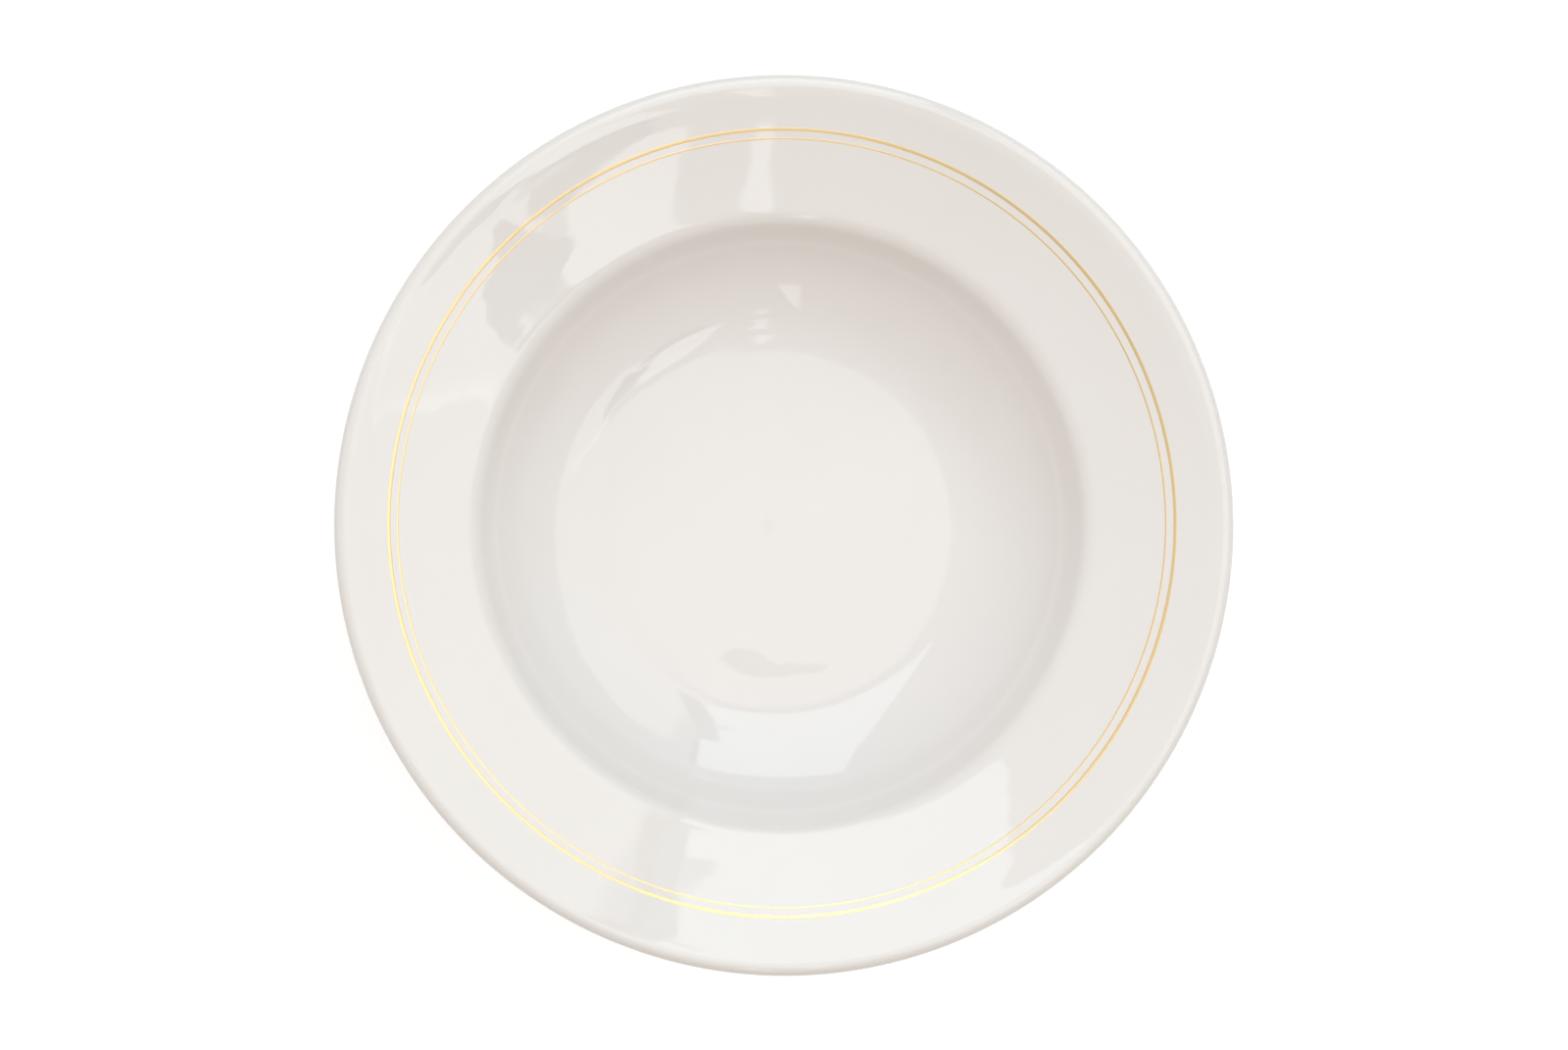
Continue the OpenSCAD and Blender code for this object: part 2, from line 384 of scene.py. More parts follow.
    def _foot(self) -> tuple[list[Corner], list[Corner], list[Corner]]:
        """Works out the recess, the bare foot and the foot's outer side up to the wall.

        Returns:
            The corners of the recess, of the bare standing face, and of the stretch from the
            outer wipe line to the underside of the wall's curve.
        """
        recess_height = self.recess_depth + self.glaze
        lean = math.tan(math.radians(self.foot_lean))
        middle = self.floor_edge[0] + self.foot_offset
        inner, outer = point(middle - self.foot_width / 2, 0), point(middle + self.foot_width / 2, 0)
        toe_end = self.floor_edge + self.toe_run * ahead(self.toe_slope)
        centre = toe_end + self.bend_radius * left_of(self.toe_slope)
        under_radius = self.bend_radius + self.wall_thickness - 2 * self.glaze
        root_slope = math.degrees(math.asin((outer[0] - centre[0]) / under_radius))
        root_floor = point(outer[0], centre[1] - under_radius * ahead(root_slope)[0])
        side_slope = UPRIGHT - self.foot_lean
        root = crossing(root_floor, root_slope, outer, side_slope)
        under_bend = crossing(root_floor, root_slope, self.under_wall, self.wall_slope)
        blend_reach = self.foot_blend * math.tan(math.radians((side_slope - root_slope) / 2))
        free = float(np.linalg.norm(under_bend - root)) - blend_reach
        under_bend_round = free / math.tan(math.radians((self.wall_slope - root_slope) / 2))
        top = recess_height + self.recess_dome
        recess = [
            Corner(point(0, top)),
            Corner(point(self.dome_share * inner[0], top), self.dome_round),
            Corner(inner + point(-recess_height * lean, recess_height), self.recess_corner),
            Corner(inner + point(-self.wipe_height * lean, self.wipe_height)),
        ]
        bare = [Corner(inner, self.foot_round), Corner(outer, self.foot_round)]
        side = [
            Corner(outer + point(self.wipe_height * lean, self.wipe_height)),
            Corner(root, self.foot_blend),
            Corner(under_bend, under_bend_round),
        ]
        return recess, bare, side

    def clay_outline(self) -> np.ndarray:
        """Returns the clay's whole outline, from the axis over the show face and back underneath."""
        corners = self.recess_corners + self.bare_corners + self.face_corners
        return outline(corners, 0)[::-1]

    def face_height(self, reach: np.ndarray) -> np.ndarray:
        """Returns the height of the true glazed show face at distances from the axis."""
        skin = outline(self.face_corners, self.glaze)
        show = skin[int(np.argmax(skin[:, 0])):][::-1]
        return np.interp(reach, show[:, 0], show[:, 1])


@dataclass(frozen=True)
class Unevenness:
    """How a fired plate departs from its true form. No term moves a point out of the true box."""

    oval: float = 0.004
    oval_turn: float = 16.0
    rim_sag: float = 0.14 * MM
    rim_sag_start: float = 62 * MM
    sag_turn: float = 110.0
    dimple_depth: float = 0.06 * MM
    dimple_radius: float = 3.2 * MM
    face_step: float = 1.5 * MM
    lip_press: float = 0.28 * MM
    lip_press_width: float = 7.7 * MM
    lip_press_land: float = 2.6 * MM

    def moved(self, points: np.ndarray, form: PlateForm) -> np.ndarray:
        """Moves points as the firing and the forming tool do.

        The reach shrinks by oval * (1 − cos 2a) / 2, where a is the angle from the long axis.
        The rim sinks by rim_sag * (1 + cos 3a) / 2, from nothing at rim_sag_start to all of it at
        the edge.  The lip is pressed flatter: lip_press_width in from the edge t is 0, at
        lip_press_land it is 1, and the rim sinks by lip_press * t².  The middle of the floor has a
        dimple, a Gauss bell of the reach, which fades out over face_step under the show face.

        Args:
            points: Array whose last axis holds x, y and z.
            form: The plate whose edge the sag is measured to.

        Returns:
            The moved points, in the same shape.
        """
        x, y, z = np.moveaxis(points, -1, 0)
        reach, angle = np.hypot(x, y), np.arctan2(y, x)
        shrink = 1 - self.oval * (1 - np.cos(2 * (angle - math.radians(self.oval_turn)))) / 2
        sag = smooth_step(self.rim_sag_start, form.radius, reach) * self.rim_sag
        sag = sag * (1 + np.cos(3 * (angle - math.radians(self.sag_turn)))) / 2
        on_top = smooth_step(form.clay_floor - self.face_step, form.clay_floor, z)
        dimple = self.dimple_depth * np.exp(-((reach / self.dimple_radius) ** 2)) * on_top
        pressed = (reach - form.radius + self.lip_press_width) / (self.lip_press_width - self.lip_press_land)
        press = self.lip_press * np.clip(pressed, 0, 1) ** 2
        return np.stack([x * shrink, y * shrink, z - sag - press - dimple], axis=-1)


def wander(angle: np.ndarray, waves: Waves) -> np.ndarray:
    """Returns the sum of share * sin(count * angle + start) over the waves: a closed wave."""
    count, share, start = np.array(waves, float).T[:, :, None]
    return (share * np.sin(count * angle.ravel()[None, :] + start)).sum(0).reshape(angle.shape)


class TurnedMesh:
    """Meshes made of rings: a grid of stations along a profile and turns round the axis."""

    @staticmethod
    def between(first: np.ndarray, second: np.ndarray) -> list[list[int]]:
        """Returns the four corners of each face between two sets of rings, facing outwards."""
        beside_first, beside_second = np.roll(first, -1, axis=-1), np.roll(second, -1, axis=-1)
        return np.stack([first, second, beside_second, beside_first], axis=-1).reshape(-1, 4).tolist()

    @staticmethod
    def fan(pole: int, ring: np.ndarray) -> list[list[int]]:
        """Returns the three corners of each face between a pole and the ring that runs round it."""
        return np.column_stack([np.full(len(ring), pole), ring, np.roll(ring, -1)]).tolist()

    @staticmethod
    def thing(name: str, points: np.ndarray, faces: list[list[int]]) -> bpy.types.Object:
        """Puts points and faces into a smooth-shaded mesh object.

        Args:
            name: The piece's name.
            points: Array of n by 3.
            faces: The point numbers of each face.

        Returns:
            The new object.
        """
        mesh = bpy.data.meshes.new(name)
        mesh.from_pydata(points.tolist(), [], faces)
        mesh.polygons.foreach_set("use_smooth", np.ones(len(faces), bool))
        mesh.update()
        thing = bpy.data.objects.new(name, mesh)
        bpy.context.scene.collection.objects.link(thing)
        return thing

    @classmethod
    def capped(cls, name: str, rings: np.ndarray, poles: np.ndarray) -> bpy.types.Object:
        """Builds a closed piece that starts and ends on the axis.

        Args:
            name: The piece's name.
            rings: Array of stations by turns by 3, from the upper pole to the lower one.
            poles: The upper and the lower pole, 2 by 3.

        Returns:
            The new object.
        """
        points = np.concatenate([rings.reshape(-1, 3), poles])
        numbers = np.arange(len(points) - 2).reshape(rings.shape[:2])
        upper, lower = cls.fan(len(points) - 2, numbers[0]), cls.fan(len(points) - 1, numbers[-1][::-1])
        return cls.thing(name, points, cls.between(numbers[:-1], numbers[1:]) + upper + lower)

    @classmethod
    def looped(cls, name: str, rings: np.ndarray) -> bpy.types.Object:
        """Builds a closed band whose profile is a loop.

        Args:
            name: The piece's name.
            rings: Array of stations by turns by 3, the last station next to the first.

        Returns:
            The new object.
        """
        points = rings.reshape(-1, 3)
        numbers = np.arange(len(points)).reshape(rings.shape[:2])
        return cls.thing(name, points, cls.between(numbers, np.roll(numbers, -1, axis=0)))


def bearings(turns: int) -> np.ndarray:
    """Returns the angles of evenly spaced turns round the axis, in radians."""
    return np.arange(turns) * TAU / turns


def carried(reach: Reach, height: Reach, angle: np.ndarray) -> np.ndarray:
    """Returns the points (reach * cos a, reach * sin a, height), with x, y and z on the last axis."""
    return np.stack([reach * np.cos(angle), reach * np.sin(angle), height + 0 * angle], axis=-1)


def turned(profile: np.ndarray, turns: int) -> np.ndarray:
    """Carries a profile of n by 2 round the axis, and returns points of n by turns by 3."""
    return carried(profile[:, :1], profile[:, 1:], bearings(turns))


# Finishes


def grey(level: float) -> Colour:
    """Returns a colour of three equal parts."""
    return level, level, level


@dataclass(frozen=True)
class Cloud:
    """Cloudy noise: its clouds per unit of length, and the number and share of finer layers."""

    scale: float
    detail: float
    rough: float


class NodeSheet:
    """A node tree of a material or a world, with short ways to add what the finishes need."""

    def __init__(self, tree: bpy.types.NodeTree) -> None:
        """Empties the tree and keeps it."""
        tree.nodes.clear()
        self.tree = tree

    @classmethod
    def of_finish(cls, name: str) -> tuple[bpy.types.Material, NodeSheet]:
        """Makes a material, and returns it with its empty sheet."""
        made = bpy.data.materials.new(name)
        made.use_nodes = True
        return made, cls(made.node_tree)

    def put(self, made: bpy.types.Node, name: Union[str, int], value: Value) -> None:
        """Links a socket to a node's input, or writes a plain value there."""
        if isinstance(value, bpy.types.NodeSocket):
            self.tree.links.new(value, made.inputs[name])
        else:
            made.inputs[name].default_value = value

    def node(self, kind: str, inputs: Inputs, **settings: object) -> bpy.types.Node:
        """Adds a node.

        Args:
            kind: Blender's type name of the node.
            inputs: For each socket's name or number a plain value or the socket to link.
            **settings: Properties of the node.

        Returns:
            The node.
        """
        made = self.tree.nodes.new(kind)
        for name, value in settings.items():
            setattr(made, name, value)
        for name, value in inputs.items():
            self.put(made, name, value)
        return made

    def out(self, kind: str, inputs: Inputs, output: Union[str, int] = 0, **settings: object) -> Socket:
        """Adds a node and returns one of its outputs."""
        return self.node(kind, inputs, **settings).outputs[output]

    def finish(self, shader: Socket) -> None:
        """Sends a shader to the material's surface."""
        self.node("ShaderNodeOutputMaterial", {"Surface": shader})

    def principled(self, inputs: Inputs) -> None:
        """Gives the material's surface a principled shader with these inputs."""
        self.finish(self.out("ShaderNodeBsdfPrincipled", inputs))

    def sum_of(self, step: Step, first: Value, second: Value = 0.0) -> Socket:
        """Returns the result of one step of arithmetic."""
        return self.out("ShaderNodeMath", {0: first, 1: second}, operation=step.value)

    def plus(self, first: Value, second: Value) -> Socket:
        """Returns first + second."""
        return self.sum_of(Step.ADD, first, second)

    def minus(self, first: Value, second: Value) -> Socket:
        """Returns first − second."""
        return self.sum_of(Step.SUBTRACT, first, second)

    def times(self, first: Value, second: Value) -> Socket:
        """Returns first * second."""
        return self.sum_of(Step.MULTIPLY, first, second)

    def most(self, first: Value, second: Value) -> Socket:
        """Returns the greater of two values."""
        return self.sum_of(Step.MAXIMUM, first, second)

    def vector_step(self, step: Step, *values: Value, output: str = "Vector") -> Socket:
        """Returns the result of one step of arithmetic on one or two vectors."""
        return self.out("ShaderNodeVectorMath", dict(enumerate(values)), output, operation=step.value)

    def between(self, value: Value, low: Value, high: Value, out_low: float = 0.0, out_high: float = 1.0) -> Socket:
        """Returns a value eased from out_low at low to out_high at high."""
        inputs = {"Value": value, "From Min": low, "From Max": high, "To Min": out_low, "To Max": out_high}
        return self.out("ShaderNodeMapRange", inputs, "Result", interpolation_type="SMOOTHSTEP")

    def soft_edge(self, depth: Socket, soft: float) -> Socket:
        """Returns the share inside an outline, eased over a soft width about its edge."""
        return self.between(depth, -soft / 2, soft / 2)

    def noise(self, place: Socket, cloud: Cloud) -> Socket:
        """Returns cloudy noise from 0 to 1 at a place."""
        inputs = {"Vector": place, "Scale": cloud.scale, "Detail": cloud.detail, "Roughness": cloud.rough}
        return self.out("ShaderNodeTexNoise", inputs, "Fac")

    def ring_noise(self, reach: Socket, scale: float, drift: Socket, cloud: Cloud) -> Socket:
        """Returns noise of the distance from the axis times a scale, which drifts with another noise."""
        return self.noise(self.vector(self.times(reach, scale), drift, 0.0), cloud)

    def swing(self, noise: Socket, width: float) -> Socket:
        """Returns (noise − 1/2) * width."""
        return self.times(self.minus(noise, 0.5), width)

    def lifted(self, height: Socket, depth: float, under: Socket | None = None) -> Socket:
        """Returns a surface's normal where a height from 0 to 1 lifts it by depth, over another relief."""
        relief: Inputs = {} if under is None else {"Normal": under}
        return self.out("ShaderNodeBump", {"Height": height, "Distance": depth, "Strength": 1.0, **relief})

    def blend(self, share: Value, first: Value, second: Value) -> Socket:
        """Returns a colour that goes from first to second as share goes from 0 to 1."""
        made = self.node("ShaderNodeMix", {0: share}, data_type="RGBA", clamp_factor=True)
        for number, value in ((6, first), (7, second)):
            self.put(made, number, value if isinstance(value, bpy.types.NodeSocket) else (*value, 1.0))
        return made.outputs[2]

    def parts(self, vector: Socket) -> tuple[Socket, Socket, Socket]:
        """Returns the three parts of a vector."""
        return tuple(self.node("ShaderNodeSeparateXYZ", {0: vector}).outputs)

    def vector(self, x: Value, y: Value, z: Value) -> Socket:
        """Returns a vector of three parts."""
        return self.out("ShaderNodeCombineXYZ", {0: x, 1: y, 2: z})

    def scaled(self, share: Socket, colour: Value) -> Socket:
        """Returns a colour times a share."""
        return self.vector_step(Step.MULTIPLY, self.vector(share, share, share), colour)

    def level_reach(self, place: Socket) -> Socket:
        """Returns the distance from the upright axis."""
        x, y, _ = self.parts(place)
        return self.vector_step(Step.LENGTH, self.vector(x, y, 0.0), output="Value")

    def inside(self, spot: Socket, corners: Sequence[tuple[float, float]]) -> Socket:
        """Returns how far a spot lies inside a convex outline.

        The distance is the least of the distances to the outline's edges, each a dot product
        with the edge's inward unit normal.

        Args:
            spot: The spot as (x, y, 1).
            corners: The outline's corners, counter-clockwise.

        Returns:
            The distance, below 0 outside.
        """
        least = None
        for first, second in zip(corners, corners[1:] + corners[:1]):
            run = point(*second) - point(*first)
            inward = point(-run[1], run[0]) / float(np.linalg.norm(run))
            edge = (float(inward[0]), float(inward[1]), float(-inward @ point(*first)))
            distance = self.vector_step(Step.DOT_PRODUCT, spot, edge, output="Value")
            least = distance if least is None else self.sum_of(Step.MINIMUM, least, distance)
        return least

    def place(self) -> Socket:
        """Returns the place on the object, in the plate's own frame."""
        return self.out("ShaderNodeTexCoord", {}, "Object")

    def ray_kinds(self) -> tuple[Socket, Socket]:
        """Returns 1 for a ray from the camera, and 1 for one that a mirror or glass sends on."""
        kinds = self.node("ShaderNodeLightPath", {}).outputs
        return kinds["Is Camera Ray"], self.most(kinds["Is Glossy Ray"], kinds["Is Transmission Ray"])


@dataclass(frozen=True)
class PaintedFloorReflection:
    """A painted reflection: a faint grey patch on the floor, in convex outlines in millimetres in the plate's own
    frame.
    """

    outlines: tuple[tuple[tuple[float, float], ...], ...]
    colour: Colour
    soft: float
    ragged: float
    cloud: Cloud = Cloud(160.0, 2.0, 0.5)

    def over(self, sheet: NodeSheet, place: Socket, colour: Socket) -> Socket:
        """Blends the painted reflection in where one of its outlines holds the place.

        Args:
            sheet: The glaze's nodes.
            place: The place on the plate.
            colour: The glaze's colour without the painted reflection.

        Returns:
            The colour with it.
        """
        x, y, _ = sheet.parts(sheet.vector_step(Step.MULTIPLY, place, (1 / MM, 1 / MM, 0.0)))
        spot = sheet.vector(x, y, 1.0)
        deepest = sheet.inside(spot, self.outlines[0])
        for corners in self.outlines[1:]:
            deepest = sheet.most(deepest, sheet.inside(spot, corners))
        shift = sheet.swing(sheet.noise(place, self.cloud), 2 * self.ragged)
        return sheet.blend(sheet.soft_edge(sheet.plus(deepest, shift), self.soft), colour, self.colour)


@dataclass(frozen=True)
class WarmWhiteGlaze:
    """Clear-bright feldspar glaze over white clay: warm white and glassy.

    It carries a faint orange peel, broad ripples, rings from the forming tool that run round the
    plate, a lighter ring part of the way up the wall, and grey patches of painted reflection on
    the floor. Towards the lip its face eases flatter than the mesh under it.
    """

    name: str = "warm_white_glaze"
    thin: Colour = (0.774, 0.740, 0.738)
    thick: Colour = (0.766, 0.732, 0.730)
    shade: Cloud = Cloud(22.0, 4.0, 0.55)
    shade_span: Span = (0.35, 0.65)
    rough_span: Span = (0.3, 0.7)
    roughness: Span = (0.30, 0.40)
    peel: Cloud = Cloud(420.0, 2.0, 0.5)
    peel_depth: float = 0.0004 * MM
    ripple: Cloud = Cloud(38.0, 1.0, 0.4)
    ripple_depth: float = 0.006 * MM
    tool_scale: float = 240.0
    tool_rings: Cloud = Cloud(1.0, 2.0, 0.6)
    tool_depth: float = 0.003 * MM
    line_reach: float = 73.0 * MM
    line_half: float = 1.4 * MM
    line_colour: Colour = (0.788, 0.754, 0.752)
    lip_ease_start: float = 107.3 * MM
    lip_ease_end: float = 112.4 * MM
    lip_ease_depth: float = 0.14 * MM
    coat_roughness: float = 0.012
    glass_ior: float = 1.5
    under_specular: float = 0.1
    # Painted reflections: grey patches on the floor that stand in for dark things mirrored in the glaze, not smears in
    # it.
    painted_reflections: tuple[PaintedFloorReflection, ...] = (
        PaintedFloorReflection(
            (
                ((-13.9, -33.2), (-9.5, -37.1), (-3.6, -38.6), (3, -37.8), (1, -34.5), (-4.4, -31.7), (-10.8, -30.6)),
                ((-1, -34.8), (-1, -38.3), (12.4, -36.8), (14.2, -35.4)),
            ),
            (0.714, 0.684, 0.679),
            soft=1.4,
            ragged=1.2,
        ),
        PaintedFloorReflection((((-3.6, 0.8), (-1.4, -1.4), (0.8, 0.8), (-1.4, 3)),), (0.748, 0.710, 0.707), soft=4.0, ragged=0.6),
    )

    def material(self) -> bpy.types.Material:
        """Builds the finish.

        Returns:
            The material: clouds of noise shade the colour between thin and thick glaze, the lighter
            ring and the painted reflections are blended in, and three noises lift the surface by
            their depths: a broad one, one of the distance from the axis, and a fine one on the coat
            alone. Between lip_ease_start and lip_ease_end, t eases from 0 to 1, and the face sinks by
            lip_ease_depth * t².
        """
        made, sheet = NodeSheet.of_finish(self.name)
        place = sheet.place()
        reach = sheet.level_reach(place)
        clouds = sheet.noise(place, self.shade)
        colour = sheet.blend(sheet.between(clouds, *self.shade_span), self.thin, self.thick)
        inner = sheet.between(reach, self.line_reach - self.line_half, self.line_reach)
        outer = sheet.between(reach, self.line_reach + self.line_half, self.line_reach)
        colour = sheet.blend(sheet.times(inner, outer), colour, self.line_colour)
        # Blends in the painted reflections on the floor.
        for painted_reflection in self.painted_reflections:
            colour = painted_reflection.over(sheet, place, colour)
        rings = sheet.ring_noise(reach, self.tool_scale, clouds, self.tool_rings)
        near_lip = sheet.between(reach, self.lip_ease_start, self.lip_ease_end)
        waves = sheet.lifted(sheet.noise(place, self.ripple), self.ripple_depth)
        waves = sheet.lifted(rings, self.tool_depth, waves)
        waves = sheet.lifted(sheet.minus(1.0, sheet.times(near_lip, near_lip)), self.lip_ease_depth, waves)
        sheet.principled(
            {
                "Base Color": colour,
                "Roughness": sheet.between(clouds, *self.rough_span, *self.roughness),
                "IOR": self.glass_ior,
                "Specular IOR Level": self.under_specular,
                "Coat Weight": 1.0,
                "Coat Roughness": self.coat_roughness,
                "Coat IOR": self.glass_ior,
                "Coat Normal": sheet.lifted(sheet.noise(place, self.peel), self.peel_depth, waves),
                "Normal": waves,
            }
        )
        return made


@dataclass(frozen=True)
class FiredClay:
    """Unglazed white clay of the foot: fine, dry, a little greyed where it has been stood on."""

    name: str = "fired_clay"
    clean: Colour = (0.80, 0.765, 0.70)
    worn: Colour = (0.62, 0.585, 0.53)
    grain: Cloud = Cloud(1600.0, 3.0, 0.6)
    grain_depth: float = 0.012 * MM
    rough_span: Span = (0.3, 0.7)
    roughness: Span = (0.62, 0.82)
    stain: Cloud = Cloud(90.0, 5.0, 0.6)
    stain_span: Span = (0.35, 0.7)
    wear_height: float = 0.12 * MM

    def material(self) -> bpy.types.Material:
        """Builds the finish.

        Returns:
            The material: wear darkens the lowest part of the foot in patches, and fine noise
            gives the dry grain.
        """
        made, sheet = NodeSheet.of_finish(self.name)
        place = sheet.place()
        low = sheet.between(sheet.parts(place)[2], self.wear_height, 0.0)
        wear = sheet.times(low, sheet.between(sheet.noise(place, self.stain), *self.stain_span))
        grain = sheet.noise(place, self.grain)
        sheet.principled(
            {
                "Base Color": sheet.blend(wear, self.clean, self.worn),
                "Roughness": sheet.between(grain, *self.rough_span, *self.roughness),
                "Normal": sheet.lifted(grain, self.grain_depth),
            }
        )
        return made


@dataclass(frozen=True)
class BurnishedGold:
    """Fired gold lustre, brushed on in one turn of the wheel and lightly burnished."""

    name: str = "burnished_gold"
    full: Colour = (0.75, 0.54, 0.27)
    thin: Colour = (0.72, 0.53, 0.29)
    cover: Cloud = Cloud(60.0, 2.0, 0.5)
    cover_span: Span = (0.35, 0.65)
    streak_scale: float = 2600.0
    streaks: Cloud = Cloud(1.0, 2.0, 0.6)
    streak_depth: float = 0.0003 * MM
    rough_span: Span = (0.3, 0.7)
    roughness: Span = (0.28, 0.36)

    def material(self) -> bpy.types.Material:
        """Builds the finish.

        Returns:
            The material: streaks follow the distance from the axis, as a brush leaves them on a
            turning plate, and clouds of noise vary the cover of the gold.
        """
        made, sheet = NodeSheet.of_finish(self.name)
        place = sheet.place()
        cover = sheet.noise(place, self.cover)
        streak = sheet.ring_noise(sheet.level_reach(place), self.streak_scale, cover, self.streaks)
        sheet.principled(
            {
                "Base Color": sheet.blend(sheet.between(cover, *self.cover_span), self.full, self.thin),
                "Metallic": 1.0,
                "Roughness": sheet.between(streak, *self.rough_span, *self.roughness),
                "Normal": sheet.lifted(streak, self.streak_depth),
            }
        )
        return made


# The plate's pieces


@dataclass(frozen=True)
class PlatePiece:
    """A piece turned about the plate's axis. Its slot holds the name of its finish."""

    form: PlateForm
    unevenness: Unevenness
    name: str
    node: PlateNode
    slot: ClassVar[FinishSlot]

    def build(self) -> bpy.types.Object:
        """Builds the piece. Each kind of piece has its own way."""
        raise NotImplementedError

    def moved(self, points: np.ndarray) -> np.ndarray:
        """Moves points as the firing and the forming tool do."""
        return self.unevenness.moved(points, self.form)

    def capped(self, profile: np.ndarray, rings: np.ndarray) -> bpy.types.Object:
        """Moves and closes rings with the profile's first and last points, which lie on the axis."""
        poles = np.array([[0, 0, profile[0, 1]], [0, 0, profile[-1, 1]]])
        return TurnedMesh.capped(self.name, self.moved(rings), self.moved(poles))

    def make(self, finish: bpy.types.Material) -> bpy.types.Object:
        """Builds the piece, gives it its finish, hangs it on the body's frame, and hides the solid it stands for.

        Args:
            finish: The material.

        Returns:
            The piece.
        """
        piece = self.build()
        piece.data.materials.append(finish)
        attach(piece, BODY)
        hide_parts(self.node.value)
        return piece


@dataclass(frozen=True)
class PorcelainBody(PlatePiece):
    """The clay itself: floor, wall, rim, rolled edge and foot ring in one throwing."""

    slot: ClassVar[FinishSlot] = FinishSlot.PORCELAIN
    cell: float = 2.2 * MM
    turn_step: float = 7.0
    turns: int = 208

    def build(self) -> bpy.types.Object:
        """Carries the clay's outline round the axis, from the floor's middle to the recess's."""
        path = self.form.clay_outline()
        profile = along_path(path, stations(path, self.cell, self.turn_step))
        return self.capped(profile, turned(profile[1:-1], self.turns))


@dataclass(frozen=True)
class GlazeShell(PlatePiece):
    """A coat of glaze over one stretch of the clay, thinning to a bead at its wiped edge."""

    wipe_first: bool
    slot: ClassVar[FinishSlot] = FinishSlot.GLAZE
    cell: float = 1.6 * MM
    turn_step: float = 4.2
    inner_share: int = 8
    turns: int = 208
    taper: float = 1.4 * MM
    bead_share: float = 0.3
    wander_height: float = 0.16 * MM
    waves: Waves = ((3, 0.4, 0.3), (7, 0.3, 1.9), (17, 0.2, 4.1), (41, 0.1, 2.2))

    def build(self) -> bpy.types.Object:
        """Lays the coat's outer face, its wiped edge and its inner face, and turns them.

        The outer face lies a share of the full thickness off the clay: bead_share at the wiped
        edge, rising to all of it over the taper's length.  Near that edge both faces move up
        and down the foot by wander_height times a gentle wave of the angle.

        Returns:
            The new object.
        """
        corners = self.form.face_corners if self.wipe_first else self.form.recess_corners[::-1]
        side = 1 if self.wipe_first else -1
        inner, outer = outline(corners, 0), outline(corners, side * self.form.glaze)
        places = stations(outer, self.cell, self.turn_step)
        inner, outer = along_path(inner, places), along_path(outer, places)
        run = np.concatenate([[0], np.cumsum(np.hypot(*np.diff(inner, axis=0).T))])
        share = self.bead_share + (1 - self.bead_share) * smooth_step(0, self.taper, run)
        outer = inner + (outer - inner) * share[:, None]
        near = 1 - smooth_step(0, 2 * self.taper, run)
        back = np.unique(np.append(np.arange(0, len(inner), self.inner_share), len(inner) - 1))
        if self.wipe_first:
            profile = np.concatenate([outer[::-1], inner[back]])
            near = np.concatenate([near[::-1], near[back]])
        else:
            profile = np.concatenate([inner[back[::-1]], outer])
            near = np.concatenate([near[back[::-1]], near])
        rings = turned(profile[1:-1], self.turns)
        rings[:, :, 2] += near[1:-1, None] * self.wander_height * wander(bearings(self.turns), self.waves)
        return self.capped(profile, rings)


@dataclass(frozen=True)
class GoldLine(PlatePiece):
    """A line of gold banded on the rim with a brush while the plate turns."""

    outer_reach: float
    width: float
    waves: Waves
    slot: ClassVar[FinishSlot] = FinishSlot.GOLD
    thickness: float = 0.04 * MM
    sunk: float = 0.04 * MM
    uneven_share: float = 0.10
    off_centre: float = 0.7 * MM
    off_centre_turn: float = 130.0
    across: int = 13
    turns: int = 720

    def build(self) -> bpy.types.Object:
        """Lays a gently domed band on the glazed rim.

        Across the band t runs from −1 to 1. The top stands (1 − t²) times the thickness off the
        glaze, and the bottom lies sunk in it. Half the width varies by a gentle wave. The plate
        stood a little off the wheel's centre while it was banded, so the reach also varies by
        off_centre * cos(a − off_centre_turn), where a is the angle.

        Returns:
            The new object.
        """
        across = np.linspace(-1, 1, self.across)[:, None]
        angle = bearings(self.turns)[None, :]
        eccentric = self.off_centre * np.cos(angle - math.radians(self.off_centre_turn))
        middle = self.outer_reach - self.width / 2 + eccentric
        half = self.width / 2 * (1 - self.uneven_share * (1 + wander(angle, self.waves)) / 2)
        reach = middle + half * across
        height = self.form.face_height(reach)
        top = height + self.thickness * (1 - across**2)
        reach = np.concatenate([reach, reach[::-1]])
        height = np.concatenate([top, height[::-1] - self.sunk])
        return TurnedMesh.looped(self.name, self.moved(carried(reach, height, angle)))


@dataclass(frozen=True)
class SoupPlate:
    """The whole plate: clay, glaze and gold."""

    form: PlateForm
    unevenness: Unevenness
    line_margin: float = 6.1 * MM
    outer_line_width: float = 0.9 * MM
    line_gap: float = 1.6 * MM
    inner_line_width: float = 0.5 * MM
    outer_waves: Waves = ((5, 0.4, 0.9), (13, 0.3, 2.0), (29, 0.3, 5.1))
    inner_waves: Waves = ((4, 0.4, 3.3), (11, 0.3, 0.4), (31, 0.3, 1.7))

    def build(self) -> list[bpy.types.Object]:
        """Builds every piece with its finish.

        Returns:
            The pieces.
        """
        glaze, gold = WarmWhiteGlaze().material(), BurnishedGold().material()
        outer_reach = self.form.roll_start[0] - self.line_margin
        inner_reach = outer_reach - self.outer_line_width - self.line_gap
        wide = (outer_reach, self.outer_line_width, self.outer_waves)
        fine = (inner_reach, self.inner_line_width, self.inner_waves)
        shared = (self.form, self.unevenness)
        return [
            PorcelainBody(*shared, "fired_body", PlateNode.BODY).make(FiredClay().material()),
            GlazeShell(*shared, "show_glaze", PlateNode.COAT, wipe_first=True).make(glaze),
            GlazeShell(*shared, "foot_recess_glaze", PlateNode.RECESS, wipe_first=False).make(glaze),
            GoldLine(*shared, "wide_gold_band", PlateNode.OUTER_LINE, *wide).make(gold),
            GoldLine(*shared, "fine_gold_band", PlateNode.INNER_LINE, *fine).make(gold),
        ]


# The studio


